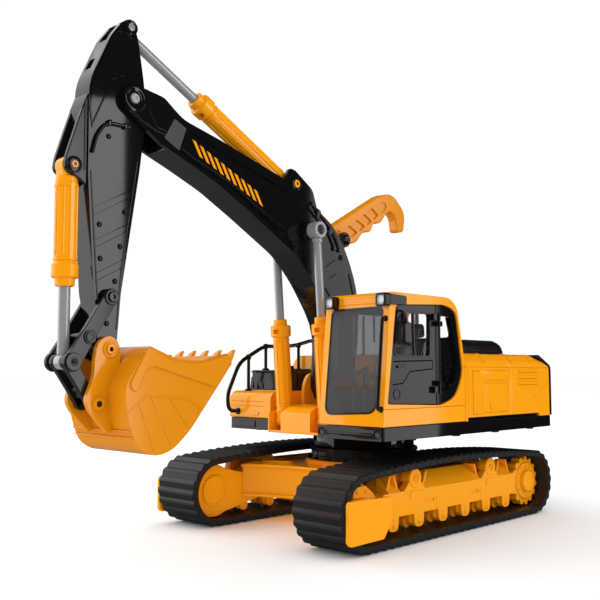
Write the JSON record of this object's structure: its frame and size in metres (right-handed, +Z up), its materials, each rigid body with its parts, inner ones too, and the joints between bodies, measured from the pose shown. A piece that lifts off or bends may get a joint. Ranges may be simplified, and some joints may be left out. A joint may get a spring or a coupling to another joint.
{
  "type": "toy excavator",
  "caption": "Toy crawler excavator with a slewing house, opening cab door, boom, arm and curling bucket moved by mock hydraulic cylinders, on fixed track loops with turning wheels",
  "frame": {"origin": "bottom centre of the bounding box, on the floor under the machine's length; the slew axis is 73.3 mm behind it", "axes": "+X forward towards the bucket, +Y to the machine's left (cab side), +Z up"},
  "size_m": [0.4505, 0.2066, 0.3573],
  "materials": {
    "orange_plastic": "semi-gloss moulded plastic",
    "black_plastic": "gloss black moulded plastic",
    "dark_plastic": "satin dark grey moulded plastic",
    "tread_plastic": "matte dark tread",
    "silver_plastic": "satin silver plastic",
    "smoked_window": "smoked clear plastic",
    "clear_window": "clear plastic",
    "lamp_lens": "clear lamp lens"
  },
  "bodies": {
    "undercarriage": {"car_body": "orange_plastic", "slew_ring_lower": "dark_plastic", "left_track_frame": "orange_plastic", "left_track_belt": "tread_plastic", "left_idler_cover": "orange_plastic", "right_track_frame": "orange_plastic", "right_track_belt": "tread_plastic", "right_idler_cover": "orange_plastic"},
    "left_idler": {"left_idler": "orange_plastic"},
    "left_sprocket": {"left_sprocket": "orange_plastic"},
    "right_idler": {"right_idler": "orange_plastic"},
    "right_sprocket": {"right_sprocket": "orange_plastic"},
    "house": {"slew_ring_upper": "black_plastic", "house_base": "black_plastic", "engine_hood": "orange_plastic", "rear_frame": "dark_plastic", "air_box": "dark_plastic", "boom_mount": "orange_plastic", "boom_foot_pin": "dark_plastic", "cab_shell": "orange_plastic", "cab_side_frame": "black_plastic", "cab_side_window": "clear_window", "windscreen": "smoked_window", "seat": "dark_plastic", "control_stand": "dark_plastic", "grab_rod": "black_plastic", "left_work_light": "black_plastic", "left_light_lens": "lamp_lens", "right_work_light": "black_plastic", "right_light_lens": "lamp_lens", "toolbox": "orange_plastic", "tank_box": "dark_plastic", "handrail": "black_plastic"},
    "door": {"cab_door": "black_plastic", "door_window": "clear_window", "door_mirror": "black_plastic"},
    "boom": {"boom_shell": "black_plastic", "boom_handle": "orange_plastic", "arm_pivot_pin": "silver_plastic", "arm_cylinder_pin": "orange_plastic", "left_lift_boss": "black_plastic", "right_lift_boss": "black_plastic"},
    "left_lift_barrel": {"left_lift_barrel": "orange_plastic"},
    "left_lift_rod": {"left_lift_rod": "silver_plastic"},
    "right_lift_barrel": {"right_lift_barrel": "orange_plastic"},
    "right_lift_rod": {"right_lift_rod": "silver_plastic"},
    "arm_cylinder_barrel": {"arm_cylinder_barrel": "orange_plastic"},
    "arm_cylinder_rod": {"arm_cylinder_rod": "silver_plastic"},
    "arm": {"arm_shell": "black_plastic", "bucket_cylinder_bracket": "dark_plastic", "bucket_cylinder_pin": "dark_plastic", "lever_pivot_pin": "dark_plastic", "bucket_pivot_pin": "dark_plastic"},
    "bucket_cylinder_barrel": {"bucket_cylinder_barrel": "orange_plastic"},
    "bucket_cylinder_rod": {"bucket_cylinder_rod": "silver_plastic"},
    "bucket_lever": {"bucket_lever": "dark_plastic"},
    "bucket_link": {"bucket_link": "dark_plastic"},
    "bucket": {"bucket_shell": "orange_plastic", "bucket_edge": "orange_plastic"}
  },
  "joints": [
    {"name": "slew", "type": "hinge", "parent": "undercarriage", "child": "house", "pos_m": [-0.07335, 0, 0.067], "axis": [0, 0, 1], "continuous": true},
    {"name": "left_sprocket_spin", "type": "hinge", "parent": "undercarriage", "child": "left_sprocket", "pos_m": [-0.18935, 0.078, 0.02725], "axis": [0, 1, 0], "continuous": true},
    {"name": "left_idler_spin", "type": "hinge", "parent": "undercarriage", "child": "left_idler", "pos_m": [0.04265, 0.075, 0.02725], "axis": [0, 1, 0], "continuous": true},
    {"name": "right_sprocket_spin", "type": "hinge", "parent": "undercarriage", "child": "right_sprocket", "pos_m": [-0.18935, -0.078, 0.02725], "axis": [0, 1, 0], "continuous": true},
    {"name": "right_idler_spin", "type": "hinge", "parent": "undercarriage", "child": "right_idler", "pos_m": [0.04265, -0.075, 0.02725], "axis": [0, 1, 0], "continuous": true},
    {"name": "door_swing", "type": "hinge", "parent": "house", "child": "door", "pos_m": [-0.04315, 0.0994, 0.135], "axis": [0, 0, 1], "range_deg": [0, 80]},
    {"name": "boom_lift", "type": "hinge", "parent": "house", "child": "boom", "pos_m": [-0.03135, 0, 0.107], "axis": [0, -1, 0], "range_deg": [-40, 8]},
    {"name": "arm_swing", "type": "hinge", "parent": "boom", "child": "arm", "pos_m": [0.17615, 0, 0.3027], "axis": [0, -1, 0], "range_deg": [-18, 34]},
    {"name": "bucket_curl", "type": "hinge", "parent": "arm", "child": "bucket", "pos_m": [0.19125, 0, 0.1372], "axis": [0, -1, 0], "range_deg": [-6, 80]},
    {"name": "arm_cylinder_tilt", "type": "hinge", "parent": "boom", "child": "arm_cylinder_barrel", "pos_m": [0.02235, 0, 0.2706], "axis": [0, -1, 0], "range_deg": [-2.5, 4.5]},
    {"name": "arm_cylinder_slide", "type": "slide", "parent": "arm_cylinder_barrel", "child": "arm_cylinder_rod", "axis": [0.8869, 0, 0.462], "range_m": [-0.0275, 0.0145]},
    {"name": "bucket_lever_swing", "type": "hinge", "parent": "arm", "child": "bucket_lever", "pos_m": [0.19065, 0, 0.1703], "axis": [0, -1, 0], "range_deg": [-11, 55]},
    {"name": "bucket_link_swing", "type": "hinge", "parent": "bucket_lever", "child": "bucket_link", "pos_m": [0.21695, 0, 0.1292], "axis": [0, -1, 0], "range_deg": [-43, 9]},
    {"name": "bucket_cylinder_tilt", "type": "hinge", "parent": "arm", "child": "bucket_cylinder_barrel", "pos_m": [0.21715, 0, 0.252], "axis": [0, -1, 0], "range_deg": [-4, 17]},
    {"name": "bucket_cylinder_slide", "type": "slide", "parent": "bucket_cylinder_barrel", "child": "bucket_cylinder_rod", "axis": [-0.0016, 0, -1], "range_m": [-0.035, 0.008]},
    {"name": "left_lift_tilt", "type": "hinge", "parent": "house", "child": "left_lift_barrel", "pos_m": [-0.00085, 0.0228, 0.084], "axis": [0, -1, 0], "range_deg": [-38, 8]},
    {"name": "left_lift_slide", "type": "slide", "parent": "left_lift_barrel", "child": "left_lift_rod", "axis": [0.0745, 0, 0.9972], "range_m": [-0.026, 0.006]},
    {"name": "right_lift_tilt", "type": "hinge", "parent": "house", "child": "right_lift_barrel", "pos_m": [-0.00085, -0.0228, 0.084], "axis": [0, -1, 0], "range_deg": [-38, 8]},
    {"name": "right_lift_slide", "type": "slide", "parent": "right_lift_barrel", "child": "right_lift_rod", "axis": [0.0745, 0, 0.9972], "range_m": [-0.026, 0.006]}
  ],
  "couplings": [
    {"joint": "left_sprocket_spin", "follows": "left_idler_spin", "ratio": 1},
    {"joint": "right_sprocket_spin", "follows": "right_idler_spin", "ratio": 1},
    {"joint": "left_lift_tilt", "follows": "boom_lift", "ratio": 0.9173},
    {"joint": "left_lift_slide", "follows": "boom_lift", "m_per_rad": 0.03553},
    {"joint": "right_lift_tilt", "follows": "boom_lift", "ratio": 0.9173},
    {"joint": "right_lift_slide", "follows": "boom_lift", "m_per_rad": 0.03553},
    {"joint": "arm_cylinder_tilt", "follows": "arm_swing", "ratio": 0.1073},
    {"joint": "arm_cylinder_slide", "follows": "arm_swing", "m_per_rad": -0.04443},
    {"joint": "bucket_lever_swing", "follows": "bucket_curl", "ratio": 0.6813},
    {"joint": "bucket_link_swing", "follows": "bucket_curl", "ratio": -0.5238},
    {"joint": "bucket_cylinder_tilt", "follows": "bucket_curl", "ratio": 0.1981},
    {"joint": "bucket_cylinder_slide", "follows": "bucket_curl", "m_per_rad": -0.02427}
  ]
}
